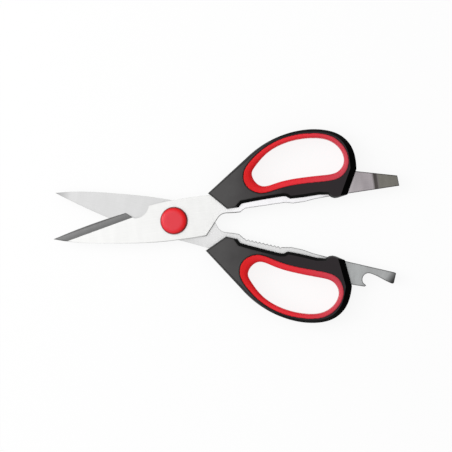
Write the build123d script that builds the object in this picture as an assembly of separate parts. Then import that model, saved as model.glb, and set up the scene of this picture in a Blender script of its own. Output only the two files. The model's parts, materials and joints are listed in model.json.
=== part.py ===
from build123d import *
import math
import os

# Kitchen shears: two stamped steel halves turn on a pivot screw, and each carries a moulded loop handle.
# X runs from the blade tips to the handles, Y across them, and Z up from the surface they lie on.
# Each half is drawn shut, with its handle on the +Y side and the pivot at the origin, and placed afterwards.

# The whole
HANDLE_THICKNESS = 14.0
SPREAD_ANGLE = 10.4
OVERRUN = 2.0
SHARP_TURN_SHARE = 0.6

# Steel plates
PLATE_THICKNESS = 2.5
PLATE_GAP = 0.1
BLADE_LENGTH = 83.0
BLADE_HALF_WIDTH = 13.4
BLADE_SPINE_SHARES = (
    (-1.0, -0.06),
    (-0.92, -0.22),
    (-0.72, -0.51),
    (-0.48, -0.74),
    (-0.26, -0.91),
    (0.025, -1.0),
)
BLADE_EDGE_SHARES = ((-0.383, 0.74), (-0.692, 0.40), (-1.0, -0.06))
BONE_NOTCH_SHARES = ((-0.187, 0.93), (-0.232, 0.53), (-0.316, 0.395))
GRIND_WIDTH = 4.5
GRIND_DEPTH = 2.2
GRIND_WHEEL_RADIUS = 30.0
SPINE_CHAMFER = 0.4
CROTCH_SHARES = ((0.159, -1.0), (0.234, -0.18))

# Handles, from the pivot to the end of the loop and from the axis to the top of the loop
HANDLE_REACH = 128.0
HANDLE_RISE = 48.6
BEVEL_WIDTH = 4.3
BEVEL_HEIGHT = 3.5
INNER_EDGE_SHARES = (
    (0.288, 0.056, 0.10),
    (0.350, 0.056, 0.48),
    (0.369, 0.101, 0.48),
    (0.438, 0.111, 0.48),
    (0.590, 0.121, 0.48),
    (0.608, 0.111, 0.48),
    (0.627, 0.072, 0.48),
    (0.703, 0.066, 0.48),
    (0.781, 0.070, 0.48),
    (0.830, 0.053, 0.36),
    (0.845, 0.012, 0.21),
    (0.862, -0.008, 0.21),
    (0.880, -0.008, 0.21),
    (0.931, 0.016, 1.00),
)
OUTER_EDGE_SHARES = (
    (0.998, 0.350, 1.00),
    (1.001, 0.494, 1.00),
    (0.989, 0.672, 0.86),
    (0.944, 0.842, 0.60),
    (0.845, 0.967, 0.45),
    (0.719, 0.998, 0.43),
    (0.621, 0.961, 0.37),
    (0.536, 0.887, 0.22),
    (0.428, 0.724, 0.25),
    (0.199, 0.312, 0.10),
)

# Loop liners, whose band is widest at the blade end
BAND_WIDTH = 6.0
LINER_ROLL_SHARES = ((1.0, 0.40), (0.90, 0.12), (0.74, 0.0))
RING_SHARES = (
    (0.397, 0.477, 1.00),
    (0.414, 0.305, 1.00),
    (0.471, 0.210, 0.85),
    (0.563, 0.226, 0.72),
    (0.701, 0.253, 0.72),
    (0.827, 0.240, 0.75),
    (0.915, 0.280, 0.65),
    (0.960, 0.436, 0.50),
    (0.959, 0.617, 0.47),
    (0.898, 0.842, 0.52),
    (0.789, 0.936, 0.53),
    (0.664, 0.936, 0.57),
    (0.539, 0.837, 0.63),
    (0.438, 0.654, 0.82),
)

# Tang inside each handle, with its strip of bare steel along the inner edge
STRIP_EDGE_SHARES = (
    (0.277, 0.0),
    (0.320, -0.012),
    (0.354, -0.016),
    (0.383, 0.027),
    (0.596, 0.029),
    (0.641, 0.002),
    (0.703, 0.002),
    (0.758, 0.020),
    (0.828, 0.027),
)
TANG_BACK_SHARES = ((0.979, 0.333), (0.875, 0.171), (0.375, 0.171), (0.266, 0.261))
FRONT_NECK_SHARES = ((0.215, 0.286), (0.04, 0.290))
REAR_NECK_SHARES = ((0.215, 0.273), (0.04, 0.252))
ANCHOR_WINDOWS_SHARES = ((0.305, 0.150), (0.719, 0.118), (0.906, 0.122))
ANCHOR_WINDOW_LENGTH = 4.0
ANCHOR_WINDOW_WIDTHS = (3.0, 2.0, 3.0)
TOOTH_COUNT = 10
TOOTH_DEPTH = 0.9
TOOTH_ROW_SHARES = (0.389, 0.592)

# Screwdriver end of the front half and opener end of the rear half
TOOL_LENGTH = 27.3
TOOL_RISE = 15.7
DRIVER_END_SHARES = ((0.99, 0.108), (0.975, 0.56))
DRIVER_GRIND_LENGTH = 16.8
DRIVER_STEP_LENGTH = 2.4
DRIVER_STEP_DEPTH = 0.4
DRIVER_TIP_THICKNESS = 0.9
OPENER_END_SHARES = ((0.97, 0.10), (1.0, 0.13), (1.0, 0.56), (0.964, 0.60))
OPENER_LIP_SHARES = ((0.964, 0.60), (0.655, 0.47), (0.461, 0.39), (0.333, 0.375))
OPENER_THROAT_SHARES = ((0.333, 0.375), (0.212, 0.62), (0.253, 0.834))
OPENER_HOOK_SHARES = ((0.253, 0.834), (0.341, 0.924), (0.304, 0.987))

# Pivot
PIVOT_RADIUS = 4.0
RUNNING_CLEARANCE = 0.05
KEY_HALF_WIDTH = 3.2
SHANK_RADIUS = 3.0
SCREW_HEAD_RADIUS = 5.5
SCREW_HEAD_HEIGHT = 1.9
WASHER_RADIUS = 5.4
WASHER_THICKNESS = 0.5
SPRING_THICKNESS = 0.5
SPRING_CONE_HEIGHT = 0.3
NUT_WIDTH = 11.0
NUT_HEIGHT = 2.0
CAP_RADIUS = 9.35
CAP_FLAT_RADIUS = 5.2
CAP_RIM_HEIGHT = 1.5
CAP_RIM_GAP = 0.15
CAP_DOME_STEPS = 2

PLATE_LOW = PLATE_GAP / 2
PLATE_HIGH = PLATE_LOW + PLATE_THICKNESS
SHOULDER_HIGH = PLATE_HIGH + RUNNING_CLEARANCE
WASHER_HIGH = SHOULDER_HIGH + WASHER_THICKNESS
SPRING_HIGH = WASHER_HIGH + SPRING_THICKNESS + SPRING_CONE_HEIGHT
NUT_HIGH = SPRING_HIGH + NUT_HEIGHT


def handle_points(shares):
    """Places shares of the handle's reach and rise."""
    return [(share[0] * HANDLE_REACH, share[1] * HANDLE_RISE) for share in shares]


def blade_points(shares):
    """Places shares of the blade's length and half width."""
    return [(share[0] * BLADE_LENGTH, share[1] * BLADE_HALF_WIDTH) for share in shares]


def tool_points(shares):
    """Places shares of the length and rise of the tools past the handles' ends."""
    return [(HANDLE_REACH + share[0] * TOOL_LENGTH, share[1] * TOOL_RISE) for share in shares]


def inward(before, here, after, side_inset, inset):
    """Moves a point of an anticlockwise outline inward, and a sharp corner by the insets of both sides."""
    first = (Vector(*here) - Vector(*before)).normalized()
    second = (Vector(*after) - Vector(*here)).normalized()
    turn = first.cross(second).Z
    if abs(turn) > SHARP_TURN_SHARE:
        move = (second * side_inset - first * inset) * (1 / turn)
    else:
        move = Vector(-first.Y - second.Y, first.X + second.X).normalized() * inset
    return (here[0] + move.X, here[1] + move.Y)


def inset_outline(points, insets):
    """Moves every point of a closed anticlockwise outline inward by its inset."""
    count = len(points)
    moved = []
    for i in range(count):
        side_inset = min(insets[i - 1], insets[i])
        moved.append(inward(points[i - 1], points[i], points[(i + 1) % count], side_inset, insets[i]))
    return moved


def extruded(outline, low, high):
    """Raises a closed outline from one height to another."""
    return Pos(0, 0, low) * extrude(make_face(outline), high - low)


def revolved(points):
    """Turns a closed profile of radii and heights about the pivot."""
    return revolve(Plane.XZ * make_face(Polyline(*points, close=True)), Axis.Z)


def disc(radius, low, high):
    """Makes a round of the given radius between two heights."""
    return Pos(0, 0, low) * extrude(Circle(radius), high - low)


def driver_outline():
    """Draws the screwdriver end from the strip's lower edge round to the tang's back."""
    strip_end = handle_points(STRIP_EDGE_SHARES[-1:])
    tang_start = handle_points(TANG_BACK_SHARES[:1])
    return Polyline(*strip_end, *tool_points(DRIVER_END_SHARES), *tang_start)


def opener_outline():
    """Draws the opener end: a lip, the round throat for a cap's rim and a hook."""
    straight = Polyline(*handle_points(STRIP_EDGE_SHARES[-1:]), *tool_points(OPENER_END_SHARES))
    lip = Spline(*tool_points(OPENER_LIP_SHARES))
    throat = ThreePointArc(*tool_points(OPENER_THROAT_SHARES))
    hook = Polyline(*tool_points(OPENER_HOOK_SHARES), *handle_points(TANG_BACK_SHARES[:1]))
    return straight + lip + throat + hook


def plate_outline(neck_shares, tool):
    """Draws one stamped half: blade, neck, tang and tool end."""
    spine_points = blade_points(BLADE_SPINE_SHARES)
    crotch = [(share[0] * HANDLE_REACH, share[1] * BLADE_HALF_WIDTH) for share in CROTCH_SHARES]
    strip = handle_points(STRIP_EDGE_SHARES)
    tang_back = handle_points(TANG_BACK_SHARES)
    neck = handle_points(neck_shares)
    notch = blade_points(BONE_NOTCH_SHARES)
    edge = blade_points(BLADE_EDGE_SHARES)
    outline = Line(spine_points[0], spine_points[1])
    outline += Spline(*spine_points[1:])
    outline += Polyline(spine_points[-1], *crotch)
    outline += TangentArc(crotch[1], strip[0], tangent=Vector(*crotch[1]) - Vector(*crotch[0]))
    outline += Polyline(*strip)
    outline += tool
    outline += Polyline(*tang_back, neck[0])
    outline += ThreePointArc(neck[0], neck[1], notch[0])
    outline += ThreePointArc(*notch)
    outline += Line(notch[-1], edge[0])
    outline += ThreePointArc(*edge)
    return outline


def grinding_wheel():
    """Makes the wheel that hollows the band along the cutting edge, from the bone notch past the tip."""
    heel, _, tip = [Vector(*point) for point in blade_points(BLADE_EDGE_SHARES)]
    notch = Vector(*blade_points(BONE_NOTCH_SHARES)[1])
    along = (tip - heel).normalized()
    outward = Vector(along.Y, -along.X)
    chord = math.hypot(GRIND_WIDTH, GRIND_DEPTH)
    reach = math.sqrt(GRIND_WHEEL_RADIUS**2 - (chord / 2) ** 2) / chord
    across = GRIND_WIDTH / 2 + GRIND_DEPTH * reach - GRIND_WIDTH
    height = PLATE_HIGH - GRIND_DEPTH / 2 + GRIND_WIDTH * reach
    start = (notch - heel).dot(along)
    end = (tip - heel).length + OVERRUN
    centre = heel + along * ((start + end) / 2) + outward * across + Vector(0, 0, height)
    return Plane(origin=centre, z_dir=along) * Cylinder(GRIND_WHEEL_RADIUS, end - start)


def with_spine_chamfer(plate):
    """Breaks the upper edge along the spine, from the grind to the neck."""
    low_x = blade_points(BLADE_SPINE_SHARES)[1][0] - OVERRUN / 2
    edges = [
        edge
        for edge in plate.edges().group_by(Axis.Z)[-1]
        if edge.center().Y < -BLADE_HALF_WIDTH / 2 and edge.bounding_box().min.X > low_x
    ]
    return chamfer(edges, SPINE_CHAMFER)


def with_anchor_windows(plate):
    """Pierces the tang where the handle's plastic runs through it."""
    for centre, width in zip(handle_points(ANCHOR_WINDOWS_SHARES), ANCHOR_WINDOW_WIDTHS):
        window = Rectangle(ANCHOR_WINDOW_LENGTH, width)
        plate -= Pos(*centre) * extrude(window, PLATE_HIGH + OVERRUN, both=True)
    return plate


def plate_solid(neck_shares, tool):
    """Stamps one half's outline, hollows its cutting edge and pierces its tang."""
    plate = extruded(plate_outline(neck_shares, tool), PLATE_LOW, PLATE_HIGH)
    plate = with_spine_chamfer(plate)
    plate -= grinding_wheel()
    return with_anchor_windows(plate)


def driver_grind():
    """Makes the wedge ground off the screwdriver end's upper face, which starts in a hollow step."""
    end = HANDLE_REACH + TOOL_LENGTH
    start = end - DRIVER_GRIND_LENGTH
    foot = start + DRIVER_STEP_LENGTH
    tip_depth = (PLATE_THICKNESS - DRIVER_TIP_THICKNESS) / 2
    slope = (tip_depth - DRIVER_STEP_DEPTH) / (end - foot)
    foot_high = PLATE_HIGH - DRIVER_STEP_DEPTH
    past = (end + OVERRUN, PLATE_HIGH - tip_depth - slope * OVERRUN)
    above = PLATE_HIGH + OVERRUN
    outline = TangentArc((foot, foot_high), (start, PLATE_HIGH), tangent=(-1, slope))
    outline += Polyline((start, PLATE_HIGH), (start, above), (past[0], above), past, (foot, foot_high))
    return extrude(Plane.XZ * make_face(outline), TOOL_RISE + OVERRUN, both=True)


def tooth_gaps():
    """Makes the row of notches cut into the strip's recess."""
    start, end = [share * HANDLE_REACH for share in TOOTH_ROW_SHARES]
    pitch = (end - start) / TOOTH_COUNT
    edge = STRIP_EDGE_SHARES[4][1] * HANDLE_RISE
    gaps = Part()
    for i in range(TOOTH_COUNT):
        left = start + i * pitch
        gap = Polyline(
            (left, edge - TOOTH_DEPTH),
            (left, edge),
            (left + pitch / 2, edge + TOOTH_DEPTH),
            (left + pitch, edge),
            (left + pitch, edge - TOOTH_DEPTH),
            close=True,
        )
        gaps += extruded(gap, PLATE_LOW - OVERRUN, PLATE_HIGH + OVERRUN)
    return gaps


def front_blade():
    """Makes the near half's steel, which turns on the screw's round shoulder."""
    plate = plate_solid(FRONT_NECK_SHARES, driver_outline())
    plate -= driver_grind()
    plate -= mirror(driver_grind(), Plane.XY.offset((PLATE_LOW + PLATE_HIGH) / 2))
    return plate - disc(PIVOT_RADIUS + RUNNING_CLEARANCE, PLATE_LOW - OVERRUN, PLATE_HIGH + OVERRUN)


def key_section(clearance):
    """Draws the round with two flats that holds the screw in the far half."""
    radius = PIVOT_RADIUS + clearance
    return Circle(radius) & Rectangle(radius * 2, (KEY_HALF_WIDTH + clearance) * 2)


def rear_blade():
    """Makes the far half's steel, which the screw is keyed to."""
    plate = plate_solid(REAR_NECK_SHARES, opener_outline())
    plate -= tooth_gaps()
    return plate - extrude(key_section(RUNNING_CLEARANCE), PLATE_HIGH + OVERRUN, both=True)


def handle_section(depth, height):
    """Draws a handle's closed outline at a height: 0 at its rim, 1 inset to its face."""
    shares = INNER_EDGE_SHARES + OUTER_EDGE_SHARES
    insets = [share[2] * BEVEL_WIDTH * depth for share in shares]
    points = inset_outline(handle_points(shares), insets)
    inner = points[: len(INNER_EDGE_SHARES)]
    outer = points[len(INNER_EDGE_SHARES):]
    edges = [Line(start, end) for start, end in zip(inner, inner[1:] + outer[:1])]
    edges.append(Spline(*outer[:-1]))
    edges.append(Line(outer[-2], outer[-1]))
    edges.append(Line(outer[-1], inner[0]))
    return Pos(0, 0, height) * Wire([edge.edge() for edge in edges])


def ring_section(depth, height):
    """Draws the liner's closed outline at a height: 0 at the handle, 1 at the finger hole."""
    insets = [share[2] * BAND_WIDTH * depth for share in RING_SHARES]
    outline = Spline(*inset_outline(handle_points(RING_SHARES), insets), periodic=True)
    return Pos(0, 0, height) * Wire(outline.edge())


def ring_blank(overrun):
    """Fills the handle's loop from face to face, or past both by an overrun."""
    high = HANDLE_THICKNESS / 2 + overrun
    return Solid.make_loft([ring_section(0, -high), ring_section(0, high)], ruled=True)


def handle_solid(plate):
    """Moulds a bevelled handle round its tang, open where the liner goes."""
    half = HANDLE_THICKNESS / 2
    rim = half - BEVEL_HEIGHT
    levels = ((1, -half), (0, -rim), (0, rim), (1, half))
    body = Solid.make_loft([handle_section(depth, height) for depth, height in levels], ruled=True)
    return body - ring_blank(OVERRUN) - plate


def liner_solid():
    """Moulds the soft ring bonded into a handle's loop, with a face that rolls into the finger hole."""
    half = HANDLE_THICKNESS / 2
    upper = [(1 - share[1], share[0] * half) for share in LINER_ROLL_SHARES]
    lower = [(depth, -height) for depth, height in reversed(upper)]
    hole = Solid.make_loft([ring_section(depth, height) for depth, height in upper + lower], ruled=True)
    return ring_blank(0) - hole


def pivot_screw():
    """Turns the screw: low head, keyed seat, round shoulder for the near half, and shank."""
    screw = disc(SCREW_HEAD_RADIUS, -PLATE_HIGH - SCREW_HEAD_HEIGHT, -PLATE_HIGH)
    screw += Pos(0, 0, -PLATE_HIGH) * extrude(key_section(0), PLATE_THICKNESS)
    screw += disc(PIVOT_RADIUS, -PLATE_LOW, SHOULDER_HIGH)
    return screw + disc(SHANK_RADIUS, SHOULDER_HIGH, NUT_HIGH)


def thrust_washer():
    """Makes the flat washer on the screw's shoulder."""
    washer = disc(WASHER_RADIUS, SHOULDER_HIGH, WASHER_HIGH)
    return washer - disc(SHANK_RADIUS + RUNNING_CLEARANCE, SHOULDER_HIGH - OVERRUN, WASHER_HIGH + OVERRUN)


def spring_washer():
    """Makes the coned washer that keeps the blades pressed together."""
    bore = SHANK_RADIUS + RUNNING_CLEARANCE
    under = [(bore, WASHER_HIGH + SPRING_CONE_HEIGHT), (WASHER_RADIUS, WASHER_HIGH)]
    return revolved(under + [(WASHER_RADIUS, WASHER_HIGH + SPRING_THICKNESS), (bore, SPRING_HIGH)])


def nut_prism(width, low, high):
    """Makes a hexagonal prism of a width across flats."""
    return Pos(0, 0, low) * extrude(RegularPolygon(width / 2, 6, major_radius=False), high - low)


def pivot_nut():
    """Makes the nut that loads the spring washer."""
    nut = nut_prism(NUT_WIDTH, SPRING_HIGH, NUT_HIGH)
    return nut - disc(SHANK_RADIUS, SPRING_HIGH - OVERRUN, NUT_HIGH + OVERRUN)


def cap_blank(low, high):
    """Turns a round cap: an upright rim, a shoulder that domes in short steps and a flat middle."""
    rim = low + CAP_RIM_HEIGHT
    profile = [(0, high), (0, low), (CAP_RADIUS, low)]
    for i in range(CAP_DOME_STEPS + 1):
        turn = math.pi / 2 * i / CAP_DOME_STEPS
        radius = CAP_FLAT_RADIUS + (CAP_RADIUS - CAP_FLAT_RADIUS) * math.cos(turn)
        profile.append((radius, rim + (high - rim) * math.sin(turn)))
    return revolved(profile)


def front_cap():
    """Makes the cap pressed on the nut, round the washers and clear of the near half."""
    low = PLATE_HIGH + CAP_RIM_GAP
    return cap_blank(low, HANDLE_THICKNESS / 2) - nut_prism(NUT_WIDTH, low - OVERRUN, NUT_HIGH)


def back_cap():
    """Makes the cap over the screw's head, flat where the shears lie on it."""
    cap = cap_blank(PLATE_HIGH, HANDLE_THICKNESS / 2)
    cap -= disc(SCREW_HEAD_RADIUS, PLATE_HIGH - OVERRUN, PLATE_HIGH + SCREW_HEAD_HEIGHT)
    return cap.rotate(Axis.X, 180)


def placed(solid, turned_over):
    """Opens a half from shut to its resting angle and lifts it on to the surface."""
    angle = -SPREAD_ANGLE if turned_over else SPREAD_ANGLE
    shape = solid.rotate(Axis.X, 180) if turned_over else solid
    return Pos(0, 0, HANDLE_THICKNESS / 2) * shape.rotate(Axis.Z, angle)


def pivot_placed(solid):
    """Turns a pivot piece with the far half that carries it."""
    return Pos(0, 0, HANDLE_THICKNESS / 2) * solid.rotate(Axis.Z, -SPREAD_ANGLE)


def main():
    """Builds every piece and writes one file for each."""
    front_steel = front_blade()
    rear_steel = rear_blade()
    pieces = {
        "front_blade": placed(front_steel, False),
        "rear_blade": placed(rear_steel, True),
        "front_handle": placed(handle_solid(front_steel), False),
        "rear_handle": placed(handle_solid(rear_steel), True),
        "front_loop_liner": placed(liner_solid(), False),
        "rear_loop_liner": placed(liner_solid(), True),
        "pivot_screw": pivot_placed(pivot_screw()),
        "thrust_washer": pivot_placed(thrust_washer()),
        "spring_washer": pivot_placed(spring_washer()),
        "pivot_nut": pivot_placed(pivot_nut()),
        "front_cap": pivot_placed(front_cap()),
        "back_cap": pivot_placed(back_cap()),
    }
    os.makedirs("parts", exist_ok=True)
    for name, piece in pieces.items():
        export_step(piece, f"parts/{name}.step")


main()
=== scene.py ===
import json
import math

import bmesh
import bpy
from bpy.props import FloatProperty, FloatVectorProperty, IntProperty, PointerProperty
from mathutils import Matrix, Vector


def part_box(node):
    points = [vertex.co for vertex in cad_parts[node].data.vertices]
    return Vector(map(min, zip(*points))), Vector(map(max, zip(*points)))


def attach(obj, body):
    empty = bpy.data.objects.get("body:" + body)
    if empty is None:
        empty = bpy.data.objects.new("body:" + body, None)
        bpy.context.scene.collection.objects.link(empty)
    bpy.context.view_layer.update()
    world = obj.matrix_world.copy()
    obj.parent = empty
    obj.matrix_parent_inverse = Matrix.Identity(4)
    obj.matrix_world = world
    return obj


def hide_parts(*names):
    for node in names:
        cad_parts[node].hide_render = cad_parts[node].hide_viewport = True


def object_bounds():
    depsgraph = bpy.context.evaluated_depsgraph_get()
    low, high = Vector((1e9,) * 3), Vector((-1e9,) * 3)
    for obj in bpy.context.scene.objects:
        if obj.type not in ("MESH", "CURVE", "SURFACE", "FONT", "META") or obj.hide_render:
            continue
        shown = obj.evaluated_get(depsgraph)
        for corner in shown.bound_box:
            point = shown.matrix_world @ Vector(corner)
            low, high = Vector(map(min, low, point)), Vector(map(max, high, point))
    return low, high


bl_info = {
    "name": "Kitchen Shears Finish",
    "version": (1, 0, 0),
    "blender": (4, 5, 0),
    "location": "3D View > Sidebar > Shears",
    "description": "Dresses kitchen shears in steel, moulded plastic and soft red liners",
    "category": "Object",
}

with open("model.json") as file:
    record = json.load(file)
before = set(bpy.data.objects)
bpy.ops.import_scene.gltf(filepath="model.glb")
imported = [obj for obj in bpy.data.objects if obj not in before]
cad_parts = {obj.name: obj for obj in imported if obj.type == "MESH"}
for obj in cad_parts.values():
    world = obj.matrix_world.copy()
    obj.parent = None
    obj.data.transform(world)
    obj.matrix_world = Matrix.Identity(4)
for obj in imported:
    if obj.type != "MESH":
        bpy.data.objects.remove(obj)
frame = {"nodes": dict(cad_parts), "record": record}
CAD_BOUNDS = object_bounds()
MM = 0.001

# Where the halves of the handles' mould met, and how far each half of the shears is turned from the middle
MID_PLANE = (CAD_BOUNDS[0][2] + CAD_BOUNDS[1][2]) / 2
SPREAD_DEGREES = 10.4

# The picture's side, the pivot's place in it, its scale and its roll
IMAGE_SIDE_PIXELS = 452
PIVOT_PIXEL = (174.0, 220.7)
SCALE_MM_PER_PIXEL = 0.68
ROLL_DEGREES = 2.2

# The camera looks straight down, and the scale is true at the blades' upper faces
CAMERA_HEIGHT = 2.0
TRUE_SCALE_HEIGHT = 9 * MM

# Upright shares of a face's normal, between which one tone gives way to the next: on the handles and caps
# these tones are painted light and shade by facing, and on the grind partly painted shade
GROUND_TILT = (0.9985, 0.990)
GROUND_STEEPEST = (0.74, 0.80)
HANDLE_TOP = (0.90, 0.98)
HANDLE_WALL = (0.45, 0.15)
CAP_RIM_SHADE = (0.88, 0.55)

# Likeness of the normals of a shape and of a rounded copy, from no edge near to an edge
EDGE_NEAR = (0.998, 0.88)

# Lengths along the shears, in mm, over which a tone changes: painted shade on the steel's edges, on the
# handles' pivot end and on the grip among them
TOOL_PATCHES = (100, 112)
NECK_EDGES = (25, 40)
TOOL_EDGES = (102, 106)
HANDLE_GRIP = (48, 88)
HANDLE_EDGE_SHADE = (62, 80)

# How far, in mm, the start of the painted shade on the grip wanders
GRIP_WANDER = 30

# How much further back, per mm across, the opener's corner is darkened
CORNER_SLANT = -0.5

# A zone that ends here, in mm, reaches past the end of a half
BEYOND = 200

# Where a painted highlight sits on a cap, off centre towards the lamps, and the radii over which it fades,
# in mm
CAP_HIGHLIGHT_AT = (-1.6, -0.3, 0)
CAP_HIGHLIGHT_RADII = (8.9, 6.1)

# The sweep's half side and gap below the part, and the share of it that shows as plain white
SWEEP_REACH = 3.0
SWEEP_GAP = 0.05 * MM
SWEEP_WHITE = 0.88

# Edges that turn by less than this stay as they are
SHARP_ANGLE = math.radians(28)

# Each lamp's name, place from the picture's middle, side and radiance
LAMPS = (
    ("overhead_box", (-0.40, 0.10, 0.80), 1.1, 0.9),
    ("left_box", (-1.2, 0.2, 0.75), 0.8, 3.6),
)


def linear(hex_colour):
    """Turns an sRGB hex value into the linear colour that shaders take."""
    channels = [int(hex_colour[i:i + 2], 16) / 255 for i in (1, 3, 5)]
    return tuple(c / 12.92 if c <= 0.04045 else ((c + 0.055) / 1.055) ** 2.4 for c in channels)


def hex_colour_property(label, description, hex_colour):
    """Makes a colour property whose default is an sRGB hex value."""
    return FloatVectorProperty(
        name=label, description=description, default=linear(hex_colour),
        subtype="COLOR", size=3, min=0, max=1,
    )


class ShearsSizes(bpy.types.PropertyGroup):
    steel_edge: FloatProperty(
        name="Steel edge", description="Radius that tumbling leaves on the stamped steel's edges",
        default=0.12 * MM, unit="LENGTH", precision=5,
    )
    plastic_edge: FloatProperty(
        name="Plastic edge", description="Radius of the handles' moulded edges",
        default=0.4 * MM, unit="LENGTH", precision=5,
    )
    liner_voxel: FloatProperty(
        name="Liner mesh", description="Mesh size of the soft liners",
        default=0.6 * MM, unit="LENGTH", precision=5,
    )
    liner_softening: IntProperty(
        name="Liner softening", description="Rounds of smoothing on the soft liners", default=5, min=0,
    )
    cap_flat_radius: FloatProperty(
        name="Cap flat", description="Radius of a cap's flat middle",
        default=5.2 * MM, unit="LENGTH", precision=5,
    )
    cap_rim_height: FloatProperty(
        name="Cap rim", description="Height of a cap's upright rim",
        default=1.5 * MM, unit="LENGTH", precision=5,
    )
    cap_patch: FloatProperty(
        name="Cap patch", description="Width of the patches that handling leaves on a cap's gloss",
        default=3 * MM, unit="LENGTH", precision=5,
    )
    cap_segments: IntProperty(
        name="Cap segments", description="Segments round a cap", default=96, min=12,
    )
    grain_width: FloatProperty(
        name="Grain width", description="Width of a brushed line, drawn coarser than the real 0.1 mm",
        default=0.5 * MM, unit="LENGTH", precision=5,
    )
    grain_length: FloatProperty(
        name="Grain length", description="Length of a brushed line",
        default=25 * MM, unit="LENGTH", precision=5,
    )
    edge_shade_width: FloatProperty(
        name="Edge shade width", description="Width of the painted shade beside the tools' edges",
        default=1.3 * MM, unit="LENGTH", precision=5,
    )
    patch_length: FloatProperty(
        name="Patch length", description="Length of the uneven patches that tumbling leaves on steel",
        default=5 * MM, unit="LENGTH", precision=5,
    )
    handle_edge_shade: FloatProperty(
        name="Handle edge shade", description="Width of the painted shade round the pivot end of a handle's top",
        default=1.6 * MM, unit="LENGTH", precision=5,
    )
    handle_patch: FloatProperty(
        name="Handle patch", description="Width of the patches of handling and of painted shade on the handles",
        default=14 * MM, unit="LENGTH", precision=5,
    )
    texture_grain: FloatProperty(
        name="Plastic grain", description="Spark eroded grain, drawn coarser than the real 0.1 mm",
        default=0.5 * MM, unit="LENGTH", precision=5,
    )


class ShearsColours(bpy.types.PropertyGroup):
    front_steel: hex_colour_property("Front steel", "Polished near plate", "#C6C6C5")
    # The far plate is the same steel, darker as painted shade
    rear_steel_shade: hex_colour_property("Rear steel", "Brushed far plate, darker as painted shade", "#B1B1B1")
    rear_tip: hex_colour_property("Rear tip", "Uneven tip of the far blade", "#8C8C8C")
    front_strip: hex_colour_property("Front strip", "Lighter steel along the near handle", "#D2D1D3")
    # Along the handle the far plate keeps less of that painted shade
    rear_strip_less_shade: hex_colour_property("Rear strip", "Far plate along the handle, with less painted shade", "#BFBFBF")
    # The grind's darker tone is partly its cross-ground finish and partly painted shade
    ground_steel_and_shade: hex_colour_property("Ground steel", "Cross-ground band of the cutting edge, partly painted shade", "#7D7D7D")
    driver_root: hex_colour_property("Driver root", "Screwdriver next to the handle", "#AEA9AB")
    driver_steel: hex_colour_property("Driver steel", "Screwdriver before its grind", "#908A8D")
    # Painted shade in the hollow of the driver's step
    driver_step_shade: hex_colour_property("Driver step", "Painted shade in the hollow where the driver's grind starts", "#504C4A")
    driver_tip: hex_colour_property("Driver tip", "Ground tip of the screwdriver", "#706E68")
    # Painted shade along the tools' sheared edges
    tool_edge_shade: hex_colour_property("Tool edge", "Painted shade on the tools' sheared edges", "#2E2D2D")
    opener_steel: hex_colour_property("Opener steel", "Root of the opener", "#999B9B")
    opener_arm: hex_colour_property("Opener arm", "Arm over the opener's throat", "#939494")
    opener_tip: hex_colour_property("Opener tip", "Darker corner of the opener", "#3A3A3A")
    pivot_steel: hex_colour_property("Pivot steel", "Zinc plated pivot parts", "#A9ACB0")
    # The handle tones are painted light by facing: a grey sheen on the tops, near-black shade on the bevels,
    # dark grey shade on the walls
    handle_top_sheen: hex_colour_property("Handle face", "Grained black plastic top with a painted sheen", "#555454")
    # Painted shade on the handle tops far from the pivot
    handle_grip_shade: hex_colour_property("Handle grip", "Black plastic top in painted shade far from the pivot", "#332F31")
    handle_wall_shade: hex_colour_property("Handle wall", "Side walls of a handle in painted shade", "#2B2A2A")
    handle_bevel_shade: hex_colour_property("Handle bevel", "Polished black plastic in painted shade", "#030303")
    # The liner's red changes along it as painted light and shade, the far end shaded with a painted sheen
    liner_near: hex_colour_property("Liner near", "Soft liner nearest the pivot", "#D90C10")
    liner_red: hex_colour_property("Liner red", "Soft liner", "#E72A35")
    liner_far_shade_sheen: hex_colour_property("Liner far shade", "Paler red at a liner's far end: painted shade with a painted sheen", "#CE4150")
    # The cap's paler middle is a painted highlight
    cap_face_highlight: hex_colour_property("Cap face", "Flat middle of a cap, paler as a painted highlight", "#E23541")
    cap_shoulder: hex_colour_property("Cap shoulder", "Polished shoulder of a cap", "#EE060C")
    # The cap's dark rim is painted shade
    cap_rim_shade: hex_colour_property("Cap rim", "Rim of a cap in painted shade", "#6E1418")
    floor: hex_colour_property("Floor", "Studio sweep", "#FCFCFC")


def add_node(tree, kind, links=None, **settings):
    """Adds a node, sets it up, and fills its inputs with values or links."""
    made = tree.nodes.new(kind)
    for name, value in settings.items():
        setattr(made, name, value)
    for socket, value in (links or {}).items():
        if isinstance(value, bpy.types.NodeSocket):
            tree.links.new(value, made.inputs[socket])
        else:
            made.inputs[socket].default_value = value
    return made


def new_material(name):
    """Starts a material with its nodes cleared, and returns it with its tree."""
    material = bpy.data.materials.new(name)
    material.use_nodes = True
    material.node_tree.nodes.clear()
    return material, material.node_tree


def close_material(tree, links):
    """Ends a material in one shader with these inputs."""
    shader = add_node(tree, "ShaderNodeBsdfPrincipled", links)
    add_node(tree, "ShaderNodeOutputMaterial", {"Surface": shader.outputs["BSDF"]})


def rgba(colour):
    """Adds an opaque alpha to a colour."""
    return (*colour, 1.0)


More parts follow.
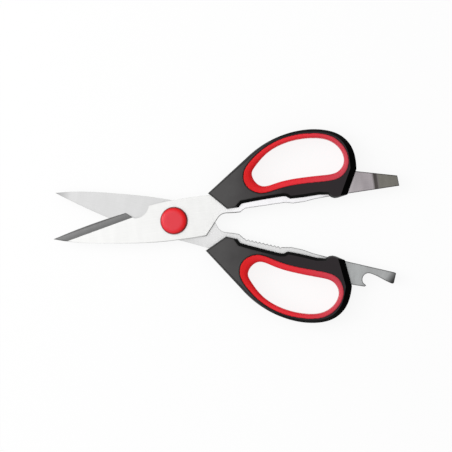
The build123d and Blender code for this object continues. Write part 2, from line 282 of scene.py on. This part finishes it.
def zoned(tree, along, tone, zones):
    """Changes a tone over lengths of one axis, each with a start, an end and a fade in mm, and a colour."""
    for start, end, fade, colour in zones:
        inside = add_node(
            tree, "ShaderNodeMapRange",
            {"Value": along, "From Min": (start - fade / 2) * MM, "From Max": (start + fade / 2) * MM},
        )
        outside = add_node(
            tree, "ShaderNodeMapRange",
            {"Value": along, "From Min": (end + fade / 2) * MM, "From Max": (end - fade / 2) * MM},
        )
        share = add_node(
            tree, "ShaderNodeMath", {0: inside.outputs[0], 1: outside.outputs[0]}, operation="MULTIPLY"
        )
        tone = add_node(
            tree, "ShaderNodeMix", {0: share.outputs[0], 6: tone, 7: rgba(colour)}, data_type="RGBA"
        ).outputs[2]
    return tone


def near_edges(tree, radius):
    """Marks a band beside a shape's edges, where the normals of a rounded copy turn away."""
    rounded = add_node(tree, "ShaderNodeBevel", {"Radius": radius}, samples=6)
    true = add_node(tree, "ShaderNodeNewGeometry")
    turned = add_node(
        tree, "ShaderNodeVectorMath",
        {0: rounded.outputs[0], 1: true.outputs["Normal"]},
        operation="DOT_PRODUCT",
    )
    band = add_node(
        tree, "ShaderNodeMapRange",
        {"Value": turned.outputs["Value"], "From Min": EDGE_NEAR[0], "From Max": EDGE_NEAR[1]},
    )
    return band.outputs[0]


def steel_material(name, turn, plate, zones, corner):
    """Stamped stainless steel: bright brushed plate, dark cross-ground band partly in painted shade, patchy
    tools with painted shade along their edges.
    """
    sizes = bpy.context.scene.shears_sizes
    colours = bpy.context.scene.shears_colours
    material, tree = new_material(name)
    place = add_node(tree, "ShaderNodeTexCoord")
    half = add_node(
        tree, "ShaderNodeMapping",
        {"Vector": place.outputs["Object"], "Rotation": (0, 0, math.radians(turn))},
    )
    along = add_node(tree, "ShaderNodeSeparateXYZ", {"Vector": half.outputs["Vector"]})
    facing = add_node(tree, "ShaderNodeSeparateXYZ", {"Vector": place.outputs["Normal"]})
    level = add_node(tree, "ShaderNodeMath", {0: facing.outputs["Z"]}, operation="ABSOLUTE")

    # Brushed lines run along the half, and the grinding lines of the edge run across it
    long_way = 1 / sizes.grain_length
    short_way = 1 / sizes.grain_width
    lines = add_node(
        tree, "ShaderNodeMapping",
        {"Vector": half.outputs["Vector"], "Scale": (long_way, short_way, short_way)},
    )
    brushed = add_node(
        tree, "ShaderNodeTexNoise",
        {"Vector": lines.outputs["Vector"], "Scale": 1, "Detail": 4, "Roughness": 0.6},
    )
    cross = add_node(
        tree, "ShaderNodeMapping",
        {"Vector": half.outputs["Vector"], "Scale": (short_way, long_way, long_way)},
    )
    ground = add_node(
        tree, "ShaderNodeTexNoise",
        {"Vector": cross.outputs["Vector"], "Scale": 1, "Detail": 3, "Roughness": 0.6},
    )
    tilted = add_node(
        tree, "ShaderNodeMapRange",
        {"Value": level.outputs[0], "From Min": GROUND_TILT[0], "From Max": GROUND_TILT[1]},
    )
    not_steep = add_node(
        tree, "ShaderNodeMapRange",
        {"Value": level.outputs[0], "From Min": GROUND_STEEPEST[0], "From Max": GROUND_STEEPEST[1]},
    )
    tilted = add_node(
        tree, "ShaderNodeMath", {0: tilted.outputs[0], 1: not_steep.outputs[0]}, operation="MULTIPLY"
    )
    grain = add_node(
        tree, "ShaderNodeMix",
        {0: tilted.outputs[0], 2: brushed.outputs["Fac"], 3: ground.outputs["Fac"]},
        data_type="FLOAT",
    )

    # The cutting edge's grind is darker, partly as painted shade of its tilted faces, and so are the tools
    # past the handles
    tone = add_node(
        tree, "ShaderNodeMix",
        {0: tilted.outputs[0], 6: rgba(plate), 7: rgba(colours.ground_steel_and_shade)},
        data_type="RGBA",
    )
    tone = zoned(tree, along.outputs["X"], tone.outputs[2], zones)
    slanted = add_node(
        tree, "ShaderNodeMath",
        {0: along.outputs["Y"], 1: CORNER_SLANT, 2: along.outputs["X"]},
        operation="MULTIPLY_ADD",
    )
    tone = zoned(tree, slanted.outputs[0], tone, corner)

    # Patches, four times as wide as they are long, are faint on the plate and plain on the tools
    passes = add_node(
        tree, "ShaderNodeMapping", {"Vector": half.outputs["Vector"], "Scale": (1, 0.25, 1)}
    )
    patches = add_node(
        tree, "ShaderNodeTexNoise",
        {"Vector": passes.outputs["Vector"], "Scale": 1 / sizes.patch_length, "Detail": 2},
    )
    depth = add_node(
        tree, "ShaderNodeMapRange",
        {
            "Value": along.outputs["X"],
            "From Min": TOOL_PATCHES[0] * MM,
            "From Max": TOOL_PATCHES[1] * MM,
            "To Min": 0.10,
            "To Max": 0.5,
        },
    )
    patch = add_node(
        tree, "ShaderNodeMath", {0: patches.outputs["Fac"], 1: 0.5}, operation="SUBTRACT"
    )
    patch = add_node(
        tree, "ShaderNodeMath",
        {0: patch.outputs[0], 1: depth.outputs[0], 2: 1.0},
        operation="MULTIPLY_ADD",
    )
    streak = add_node(
        tree, "ShaderNodeMapRange", {"Value": grain.outputs[0], "To Min": 0.90, "To Max": 1.10}
    )
    uneven = add_node(
        tree, "ShaderNodeMath", {0: streak.outputs[0], 1: patch.outputs[0]}, operation="MULTIPLY"
    )

    # Painted shade darkens the sheared edges on the inner side and on the tools, and half as much along the
    # grind
    inner_side = add_node(
        tree, "ShaderNodeMath",
        {0: along.outputs["Y"], 1: math.copysign(1, turn), 2: along.outputs["X"]},
        operation="MULTIPLY_ADD",
    )
    neck = add_node(
        tree, "ShaderNodeMapRange",
        {
            "Value": inner_side.outputs[0],
            "From Min": NECK_EDGES[0] * MM,
            "From Max": NECK_EDGES[1] * MM,
            "To Min": 0.04,
            "To Max": 0.9,
        },
    )
    edges = add_node(
        tree, "ShaderNodeMath",
        {0: tilted.outputs[0], 1: 0.5, 2: neck.outputs[0]},
        operation="MULTIPLY_ADD",
    )
    tool = add_node(
        tree, "ShaderNodeMapRange",
        {"Value": along.outputs["X"], "From Min": TOOL_EDGES[0] * MM, "From Max": TOOL_EDGES[1] * MM},
    )
    edges = add_node(
        tree, "ShaderNodeMath", {0: edges.outputs[0], 1: tool.outputs[0]}, operation="ADD"
    )
    # Painted shade darkens the band beside the edges
    dark = add_node(
        tree, "ShaderNodeMath", {0: near_edges(tree, sizes.edge_shade_width), 1: edges.outputs[0]},
        operation="MULTIPLY", use_clamp=True,
    )
    edged = add_node(
        tree, "ShaderNodeMix",
        {0: dark.outputs[0], 6: tone, 7: rgba(colours.tool_edge_shade)},
        data_type="RGBA",
    )
    streaked = add_node(
        tree, "ShaderNodeVectorMath",
        {0: edged.outputs[2], "Scale": uneven.outputs[0]},
        operation="SCALE",
    )
    rough = add_node(
        tree, "ShaderNodeMapRange", {"Value": grain.outputs[0], "To Min": 0.26, "To Max": 0.42}
    )
    bump = add_node(
        tree, "ShaderNodeBump", {"Height": grain.outputs[0], "Strength": 0.35, "Distance": 0.02 * MM}
    )
    close_material(
        tree,
        {
            "Base Color": streaked.outputs[0],
            "Metallic": 1.0,
            "Roughness": rough.outputs[0],
            "Normal": bump.outputs[0],
        },
    )
    return material


def pivot_material(colour):
    """Zinc plated turned steel, which gives a dull even sheen."""
    sizes = bpy.context.scene.shears_sizes
    material, tree = new_material("zinc_plated_turned_steel")
    place = add_node(tree, "ShaderNodeTexCoord")
    turned = add_node(
        tree, "ShaderNodeTexNoise",
        {"Vector": place.outputs["Object"], "Scale": 1 / sizes.grain_width, "Detail": 3},
    )
    rough = add_node(
        tree, "ShaderNodeMapRange", {"Value": turned.outputs["Fac"], "To Min": 0.3, "To Max": 0.45}
    )
    close_material(
        tree, {"Base Color": rgba(colour), "Metallic": 1.0, "Roughness": rough.outputs[0]}
    )
    return material


def parting_line(tree, normal):
    """Raises the thin line where the two halves of a mould met, half way up the handles."""
    place = add_node(tree, "ShaderNodeTexCoord")
    apart = add_node(tree, "ShaderNodeSeparateXYZ", {"Vector": place.outputs["Object"]})
    above = add_node(tree, "ShaderNodeMath", {0: apart.outputs["Z"], 1: MID_PLANE}, operation="SUBTRACT")
    off = add_node(tree, "ShaderNodeMath", {0: above.outputs[0]}, operation="ABSOLUTE")
    ridge = add_node(
        tree, "ShaderNodeMapRange",
        {"Value": off.outputs[0], "From Min": 0.25 * MM, "From Max": 0.05 * MM},
    )
    bump = add_node(
        tree, "ShaderNodeBump",
        {"Height": ridge.outputs[0], "Strength": 1.0, "Distance": 0.15 * MM, "Normal": normal},
    )
    return bump.outputs[0]


def handle_material():
    """Injection moulded ABS with matt spark eroded tops, toned by facing: a grey painted sheen on the tops,
    near-black painted shade on the bevels and dark grey painted shade on the walls.
    """
    sizes = bpy.context.scene.shears_sizes
    colours = bpy.context.scene.shears_colours
    material, tree = new_material("moulded_abs_black")
    place = add_node(tree, "ShaderNodeTexCoord")
    facing = add_node(tree, "ShaderNodeSeparateXYZ", {"Vector": place.outputs["Normal"]})
    level = add_node(tree, "ShaderNodeMath", {0: facing.outputs["Z"]}, operation="ABSOLUTE")
    flat = add_node(
        tree, "ShaderNodeMapRange",
        {"Value": level.outputs[0], "From Min": HANDLE_TOP[0], "From Max": HANDLE_TOP[1]},
    )
    eroded = add_node(
        tree, "ShaderNodeTexNoise",
        {"Vector": place.outputs["Object"], "Scale": 1 / sizes.texture_grain, "Detail": 5, "Roughness": 0.7},
    )
    handling_and_shade_patches = add_node(
        tree, "ShaderNodeTexNoise",
        {"Vector": place.outputs["Object"], "Scale": 1 / sizes.handle_patch, "Detail": 2},
    )

    # Painted shade darkens the far part of the grip, with an uneven start
    apart = add_node(tree, "ShaderNodeSeparateXYZ", {"Vector": place.outputs["Object"]})
    patchy = add_node(
        tree, "ShaderNodeMath",
        {0: handling_and_shade_patches.outputs["Fac"], 1: GRIP_WANDER * MM, 2: apart.outputs["X"]},
        operation="MULTIPLY_ADD",
    )
    grip_shade = add_node(
        tree, "ShaderNodeMapRange",
        {"Value": patchy.outputs[0], "From Min": HANDLE_GRIP[0] * MM, "From Max": HANDLE_GRIP[1] * MM},
    )
    face = add_node(
        tree, "ShaderNodeMix",
        {0: grip_shade.outputs[0], 6: rgba(colours.handle_top_sheen), 7: rgba(colours.handle_grip_shade)},
        data_type="RGBA",
    )

    # A thin band of the bevels' painted shade runs round the top's pivot end, where the bevel narrows to
    # nothing
    pivot_end = add_node(
        tree, "ShaderNodeMapRange",
        {
            "Value": apart.outputs["X"],
            "From Min": HANDLE_EDGE_SHADE[0] * MM,
            "From Max": HANDLE_EDGE_SHADE[1] * MM,
            "To Min": 1.0,
            "To Max": 0.0,
        },
    )
    # The band carries the bevels' painted shade onto the top
    rim = add_node(
        tree, "ShaderNodeMath",
        {0: near_edges(tree, sizes.handle_edge_shade), 1: pivot_end.outputs[0]},
        operation="MULTIPLY",
    )
    matt = add_node(
        tree, "ShaderNodeMath",
        {0: flat.outputs[0], 1: rim.outputs[0]},
        operation="SUBTRACT", use_clamp=True,
    )
    # Painted light by facing: the tops take the grey painted sheen, the bevels the near-black painted shade
    tone = add_node(
        tree, "ShaderNodeMix",
        {0: matt.outputs[0], 6: rgba(colours.handle_bevel_shade), 7: face.outputs[2]},
        data_type="RGBA",
    )
    # The side walls take their own dark grey painted shade
    wall = add_node(
        tree, "ShaderNodeMapRange",
        {"Value": level.outputs[0], "From Min": HANDLE_WALL[0], "From Max": HANDLE_WALL[1]},
    )
    tone = add_node(
        tree, "ShaderNodeMix",
        {0: wall.outputs[0], 6: tone.outputs[2], 7: rgba(colours.handle_wall_shade)},
        data_type="RGBA",
    )

    # The grain lies on the tops alone
    rough_face = add_node(
        tree, "ShaderNodeMapRange", {"Value": handling_and_shade_patches.outputs["Fac"], "To Min": 0.42, "To Max": 0.56}
    )
    rough = add_node(
        tree, "ShaderNodeMix", {0: flat.outputs[0], 2: 0.30, 3: rough_face.outputs[0]}, data_type="FLOAT"
    )
    height = add_node(
        tree, "ShaderNodeMath", {0: eroded.outputs["Fac"], 1: flat.outputs[0]}, operation="MULTIPLY"
    )
    bump = add_node(
        tree, "ShaderNodeBump", {"Height": height.outputs[0], "Strength": 0.5, "Distance": 0.05 * MM}
    )
    seam = parting_line(tree, bump.outputs[0])
    close_material(
        tree,
        {
            "Base Color": tone.outputs[2],
            "Roughness": rough.outputs[0],
            "IOR": 1.53,
            "Specular IOR Level": 0.015,
            "Normal": seam,
        },
    )
    return material


def liner_material():
    """Moulded thermoplastic rubber: a soft satin red with a fine orange peel, painted paler far from the
    pivot as painted shade with a painted sheen.
    """
    sizes = bpy.context.scene.shears_sizes
    colours = bpy.context.scene.shears_colours
    material, tree = new_material("moulded_soft_tpe_red")
    place = add_node(tree, "ShaderNodeTexCoord")
    peel = add_node(
        tree, "ShaderNodeTexNoise",
        {"Vector": place.outputs["Object"], "Scale": 1 / (sizes.texture_grain * 2), "Detail": 3},
    )
    rough = add_node(
        tree, "ShaderNodeMapRange", {"Value": peel.outputs["Fac"], "To Min": 0.40, "To Max": 0.52}
    )
    bump = add_node(
        tree, "ShaderNodeBump", {"Height": peel.outputs["Fac"], "Strength": 0.3, "Distance": 0.05 * MM}
    )
    seam = parting_line(tree, bump.outputs[0])
    apart = add_node(tree, "ShaderNodeSeparateXYZ", {"Vector": place.outputs["Object"]})
    # Painted light and shade along the liner: deep red near the pivot, a paler shaded red with a painted
    # sheen far from it
    tone = zoned(
        tree, apart.outputs["X"], rgba(colours.liner_near),
        ((60, BEYOND, 26, colours.liner_red), (98, BEYOND, 30, colours.liner_far_shade_sheen)),
    )
    close_material(
        tree,
        {
            "Base Color": tone,
            "Roughness": rough.outputs[0],
            "IOR": 1.49,
            "Specular IOR Level": 0.2,
            "Normal": seam,
        },
    )
    return material


def cap_material():
    """Injection moulded glossy ABS: a deep red shoulder round a flat painted paler as a highlight, and a rim
    in painted shade.
    """
    sizes = bpy.context.scene.shears_sizes
    colours = bpy.context.scene.shears_colours
    material, tree = new_material("moulded_abs_red_gloss")
    place = add_node(tree, "ShaderNodeTexCoord")
    facing = add_node(tree, "ShaderNodeSeparateXYZ", {"Vector": place.outputs["Normal"]})
    level = add_node(tree, "ShaderNodeMath", {0: facing.outputs["Z"]}, operation="ABSOLUTE")
    seen_flat = add_node(
        tree, "ShaderNodeMapping", {"Vector": place.outputs["Object"], "Scale": (1, 1, 0)}
    )
    off_centre = add_node(
        tree, "ShaderNodeVectorMath",
        {0: seen_flat.outputs["Vector"], 1: Vector(CAP_HIGHLIGHT_AT) * MM},
        operation="DISTANCE",
    )
    # Painted highlight on the cap's middle, off centre towards the lamps
    rubbed = add_node(
        tree, "ShaderNodeMapRange",
        {
            "Value": off_centre.outputs["Value"],
            "From Min": CAP_HIGHLIGHT_RADII[0] * MM,
            "From Max": CAP_HIGHLIGHT_RADII[1] * MM,
        },
    )

    # Painted shade darkens the rim, a little more on the side of the handles, away from the lamps
    shaded_side = add_node(
        tree, "ShaderNodeMath",
        {0: facing.outputs["X"], 1: -0.10, 2: level.outputs[0]},
        operation="MULTIPLY_ADD",
    )
    # Painted shade on the cap's steep rim
    rim_shade = add_node(
        tree, "ShaderNodeMapRange",
        {"Value": shaded_side.outputs[0], "From Min": CAP_RIM_SHADE[0], "From Max": CAP_RIM_SHADE[1]},
    )
    tone = add_node(
        tree, "ShaderNodeMix",
        {0: rubbed.outputs[0], 6: rgba(colours.cap_shoulder), 7: rgba(colours.cap_face_highlight)},
        data_type="RGBA",
    )
    tone = add_node(
        tree, "ShaderNodeMix",
        {0: rim_shade.outputs[0], 6: tone.outputs[2], 7: rgba(colours.cap_rim_shade)},
        data_type="RGBA",
    )
    handled = add_node(
        tree, "ShaderNodeTexNoise",
        {"Vector": place.outputs["Object"], "Scale": 1 / sizes.cap_patch, "Detail": 4},
    )
    rough = add_node(
        tree, "ShaderNodeMapRange", {"Value": handled.outputs["Fac"], "To Min": 0.26, "To Max": 0.34}
    )
    close_material(
        tree,
        {
            "Base Color": tone.outputs[2],
            "Roughness": rough.outputs[0],
            "IOR": 1.53,
            "Specular IOR Level": 0.25,
        },
    )
    return material


def dress(node_name, material):
    """Gives a carried-over node one material."""
    shape = frame["nodes"][node_name]
    shape.data.materials.clear()
    shape.data.materials.append(material)
    return shape


def soften_edges(shape, radius, segments):
    """Rounds a shape's sharp edges."""
    bevel = shape.modifiers.new("rounded_edges", "BEVEL")
    bevel.width = radius
    bevel.segments = segments
    bevel.limit_method = "ANGLE"
    bevel.angle_limit = SHARP_ANGLE
    bevel.harden_normals = True


def link(name, mesh, material):
    """Puts a mesh in the scene as an object with one material."""
    mesh.materials.append(material)
    shape = bpy.data.objects.new(name, mesh)
    bpy.context.scene.collection.objects.link(shape)
    return shape


def stand_in(shape, node_name):
    """Lets a shape take a node's place on the node's own body."""
    bodies = frame["record"]["behaviour"]["bodies"]
    body = next(name for name, nodes in bodies.items() if node_name in nodes)
    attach(shape, body)
    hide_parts(node_name)


class SHEARS_OT_blades(bpy.types.Operator):
    """Finish both stamped steel halves"""

    bl_idname = "shears.blades"
    bl_label = "Blades"

    def execute(self, context):
        sizes = context.scene.shears_sizes
        colours = context.scene.shears_colours

        # Each zone's start, end and fade, in mm along the half, and its colour
        driver = (
            (38, BEYOND, 20, colours.front_strip),
            (106, BEYOND, 12, colours.driver_root),
            (122, BEYOND, 18, colours.driver_steel),
            (141.2, BEYOND, 1.2, colours.driver_tip),
            # The step's darker band is painted shade in the hollow
            (138.0, 141.2, 1.6, colours.driver_step_shade),
        )
        opener = (
            (-BEYOND, -77, 9, colours.rear_tip),
            # Along the handle the far plate keeps less painted shade
            (20, BEYOND, 16, colours.rear_strip_less_shade),
            (106, BEYOND, 12, colours.opener_steel),
            (135, BEYOND, 5, colours.opener_arm),
        )
        opener_corner = ((155.0, BEYOND, 5.5, colours.opener_tip),)
        front = steel_material("polished_stainless_steel", -SPREAD_DEGREES, colours.front_steel, driver, ())
        # The far plate's darker steel is painted shade
        rear = steel_material(
            "stainless_steel_far_painted_shade", SPREAD_DEGREES, colours.rear_steel_shade, opener, opener_corner
        )
        for node_name, material in (("front_blade", front), ("rear_blade", rear)):
            soften_edges(dress(node_name, material), sizes.steel_edge, 2)
        return {"FINISHED"}


class SHEARS_OT_handles(bpy.types.Operator):
    """Finish both moulded handles"""

    bl_idname = "shears.handles"
    bl_label = "Handles"

    def execute(self, context):
        material = handle_material()
        for node_name in ("front_handle", "rear_handle"):
            soften_edges(dress(node_name, material), context.scene.shears_sizes.plastic_edge, 3)
        return {"FINISHED"}


class SHEARS_OT_liners(bpy.types.Operator):
    """Model the soft ring in each finger loop"""

    bl_idname = "shears.liners"
    bl_label = "Loop liners"

    def execute(self, context):
        sizes = context.scene.shears_sizes
        material = liner_material()
        for node_name in ("front_loop_liner", "rear_loop_liner"):
            mesh = frame["nodes"][node_name].data.copy()
            mesh.materials.clear()
            ring = link(f"{node_name}_soft", mesh, material)
            remesh = ring.modifiers.new("even_mesh", "REMESH")
            remesh.mode = "VOXEL"
            remesh.voxel_size = sizes.liner_voxel
            remesh.use_smooth_shade = True
            smooth = ring.modifiers.new("softened", "SMOOTH")
            smooth.factor = 0.5
            smooth.iterations = sizes.liner_softening
            stand_in(ring, node_name)
        return {"FINISHED"}


def cap_profile(radius, height, sizes):
    """Lists radii and heights of a cap from its flat's middle to its seat."""
    rim = sizes.cap_rim_height
    flat = sizes.cap_flat_radius
    points = [(0, height), (flat * 0.6, height)]
    steps = 14
    for i in range(steps + 1):
        turn = math.pi / 2 * (1 - i / steps)
        points.append((flat + (radius - flat) * math.cos(turn), rim + (height - rim) * math.sin(turn)))
    chamfer = 0.15 * MM
    seat_width = 1.8 * MM
    points += [(radius, chamfer), (radius - chamfer, 0), (radius - seat_width, 0)]
    return points


def cap_mesh(name, centre, radius, height, sizes):
    """Turns a cap's profile about the pivot."""
    shape = bmesh.new()
    points = [shape.verts.new((centre.x + r, centre.y, z)) for r, z in cap_profile(radius, height, sizes)]
    edges = [shape.edges.new(pair) for pair in zip(points, points[1:])]
    bmesh.ops.spin(
        shape, geom=points + edges, cent=(centre.x, centre.y, 0), axis=(0, 0, 1),
        angle=math.tau, steps=sizes.cap_segments, use_merge=True, use_duplicate=False,
    )
    bmesh.ops.remove_doubles(shape, verts=shape.verts, dist=1e-6)
    bmesh.ops.recalc_face_normals(shape, faces=shape.faces)
    for face in shape.faces:
        face.smooth = True
    mesh = bpy.data.meshes.new(name)
    shape.to_mesh(mesh)
    shape.free()
    return mesh


class SHEARS_OT_caps(bpy.types.Operator):
    """Model the domed cap on each side of the pivot"""

    bl_idname = "shears.caps"
    bl_label = "Pivot caps"

    def execute(self, context):
        sizes = context.scene.shears_sizes
        material = cap_material()
        for node_name in ("front_cap", "back_cap"):
            low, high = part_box(node_name)
            centre = (low + high) / 2
            radius = (high.x - low.x) / 2
            seat, crown = (low.z, high.z) if node_name == "front_cap" else (high.z, low.z)
            mesh = cap_mesh(f"{node_name}_dome", centre, radius, abs(crown - seat), sizes)
            rise = math.copysign(1, crown - seat)
            mesh.transform(Matrix.Translation((0, 0, seat)) @ Matrix.Diagonal((1, 1, rise, 1)))
            if rise < 0:
                mesh.flip_normals()
            stand_in(link(f"{node_name}_domed", mesh, material), node_name)
        return {"FINISHED"}


class SHEARS_OT_pivot(bpy.types.Operator):
    """Finish the screw, nut and washers"""

    bl_idname = "shears.pivot"
    bl_label = "Pivot"

    def execute(self, context):
        material = pivot_material(context.scene.shears_colours.pivot_steel)
        for node_name in ("pivot_screw", "thrust_washer", "spring_washer", "pivot_nut"):
            dress(node_name, material)
        return {"FINISHED"}


def shown_rays(tree):
    """Marks the rays that show a thing, straight or in a mirror or through glass."""
    path = add_node(tree, "ShaderNodeLightPath")
    seen = add_node(
        tree, "ShaderNodeMath",
        {0: path.outputs["Is Camera Ray"], 1: path.outputs["Is Glossy Ray"]},
        operation="MAXIMUM",
    )
    seen = add_node(
        tree, "ShaderNodeMath",
        {0: seen.outputs[0], 1: path.outputs["Is Transmission Ray"]},
        operation="MAXIMUM",
    )
    return seen.outputs[0]


def floor_material(colour):
    """A matt white sweep that keeps a faint shadow."""
    material, tree = new_material("studio_sweep")
    share = add_node(tree, "ShaderNodeMath", {0: shown_rays(tree), 1: SWEEP_WHITE}, operation="MULTIPLY")
    matt = add_node(tree, "ShaderNodeBsdfDiffuse", {"Color": rgba(colour)})
    white = add_node(tree, "ShaderNodeEmission", {"Color": (1, 1, 1, 1), "Strength": 1.0})
    mixed = add_node(
        tree, "ShaderNodeMixShader", {0: share.outputs[0], 1: matt.outputs[0], 2: white.outputs[0]}
    )
    add_node(tree, "ShaderNodeOutputMaterial", {"Surface": mixed.outputs[0]})
    return material


def studio_world():
    """Lights the set softly, and shows white behind it."""
    world = bpy.data.worlds.new("studio")
    bpy.context.scene.world = world
    world.use_nodes = True
    tree = world.node_tree
    tree.nodes.clear()

    # What shows is white overhead and to one side, and greyer low down, which shades the steel's slopes
    sky = add_node(tree, "ShaderNodeTexCoord")
    toward_light = add_node(
        tree, "ShaderNodeVectorMath",
        {0: sky.outputs["Generated"], 1: (-0.35, -0.30, 1.0)},
        operation="DOT_PRODUCT",
    )
    rise = add_node(
        tree, "ShaderNodeMapRange",
        {
            "Value": toward_light.outputs["Value"],
            "From Min": -0.2,
            "From Max": 0.9,
            "To Min": 0.42,
            "To Max": 1.0,
        },
    )
    fill = add_node(tree, "ShaderNodeBackground", {"Color": (1, 1, 1, 1), "Strength": 0.52})
    sweep = add_node(tree, "ShaderNodeBackground", {"Color": (1, 1, 1, 1), "Strength": rise.outputs[0]})
    mixed = add_node(
        tree, "ShaderNodeMixShader", {0: shown_rays(tree), 1: fill.outputs[0], 2: sweep.outputs[0]}
    )
    add_node(tree, "ShaderNodeOutputWorld", {"Surface": mixed.outputs[0]})


def add_lamp(name, place, target, side, radiance):
    """Adds a square soft box of a given radiance that faces a point."""
    data = bpy.data.lights.new(name, "AREA")
    data.shape = "SQUARE"
    data.size = side
    data.energy = radiance * math.pi * side * side
    lamp = bpy.data.objects.new(name, data)
    bpy.context.scene.collection.objects.link(lamp)
    lamp.location = place
    lamp.rotation_euler = (target - place).to_track_quat("-Z", "Y").to_euler()
    lamp.visible_camera = False


class SHEARS_OT_stage(bpy.types.Operator):
    """Set the floor, lights and camera"""

    bl_idname = "shears.stage"
    bl_label = "Stage"

    def execute(self, context):
        mesh = bpy.data.meshes.new("sweep")
        shape = bmesh.new()
        bmesh.ops.create_grid(shape, x_segments=1, y_segments=1, size=SWEEP_REACH)
        shape.to_mesh(mesh)
        shape.free()
        floor = link("sweep", mesh, floor_material(context.scene.shears_colours.floor))
        floor.location.z = -SWEEP_GAP
        studio_world()

        # The picture's middle, from the pivot's place in it
        roll = math.radians(ROLL_DEGREES)
        right = (IMAGE_SIDE_PIXELS / 2 - PIVOT_PIXEL[0]) * SCALE_MM_PER_PIXEL * MM
        up = (PIVOT_PIXEL[1] - IMAGE_SIDE_PIXELS / 2) * SCALE_MM_PER_PIXEL * MM
        middle = Matrix.Rotation(roll, 3, "Z") @ Vector((right, up, 0))
        data = bpy.data.cameras.new("overhead")
        data.sensor_fit = "HORIZONTAL"
        side = IMAGE_SIDE_PIXELS * SCALE_MM_PER_PIXEL * MM
        data.angle = 2 * math.atan(side / 2 / (CAMERA_HEIGHT - TRUE_SCALE_HEIGHT))
        data.clip_end = 20
        camera = bpy.data.objects.new("overhead", data)
        context.scene.collection.objects.link(camera)
        camera.location = (middle.x, middle.y, CAMERA_HEIGHT)
        camera.rotation_euler = (0, 0, roll)
        context.scene.camera = camera

        for name, offset, side, radiance in LAMPS:
            add_lamp(name, middle + Vector(offset), middle, side, radiance)
        context.scene.view_settings.view_transform = "Standard"
        return {"FINISHED"}


class SHEARS_PT_panel(bpy.types.Panel):
    """Lists the steps that dress the shears"""

    bl_idname = "SHEARS_PT_panel"
    bl_label = "Shears"
    bl_space_type = "VIEW_3D"
    bl_region_type = "UI"
    bl_category = "Shears"

    def draw(self, context):
        for step in STEPS:
            self.layout.operator(step.bl_idname)
        for group in (context.scene.shears_sizes, context.scene.shears_colours):
            for name in group.__annotations__:
                self.layout.prop(group, name)


STEPS = (
    SHEARS_OT_blades,
    SHEARS_OT_handles,
    SHEARS_OT_liners,
    SHEARS_OT_caps,
    SHEARS_OT_pivot,
    SHEARS_OT_stage,
)
CLASSES = (ShearsSizes, ShearsColours, *STEPS, SHEARS_PT_panel)


def register():
    """Registers the classes and puts the settings on the scene."""
    for item in CLASSES:
        bpy.utils.register_class(item)
    bpy.types.Scene.shears_sizes = PointerProperty(type=ShearsSizes)
    bpy.types.Scene.shears_colours = PointerProperty(type=ShearsColours)


def unregister():
    """Takes the settings and the classes away again."""
    del bpy.types.Scene.shears_colours
    del bpy.types.Scene.shears_sizes
    for item in reversed(CLASSES):
        bpy.utils.unregister_class(item)


def main():
    """Dresses the shears and sets the stage."""
    register()
    bpy.ops.shears.blades()
    bpy.ops.shears.handles()
    bpy.ops.shears.liners()
    bpy.ops.shears.caps()
    bpy.ops.shears.pivot()
    bpy.ops.shears.stage()
    bpy.context.view_layer.update()


if __name__ == "__main__":
    main()
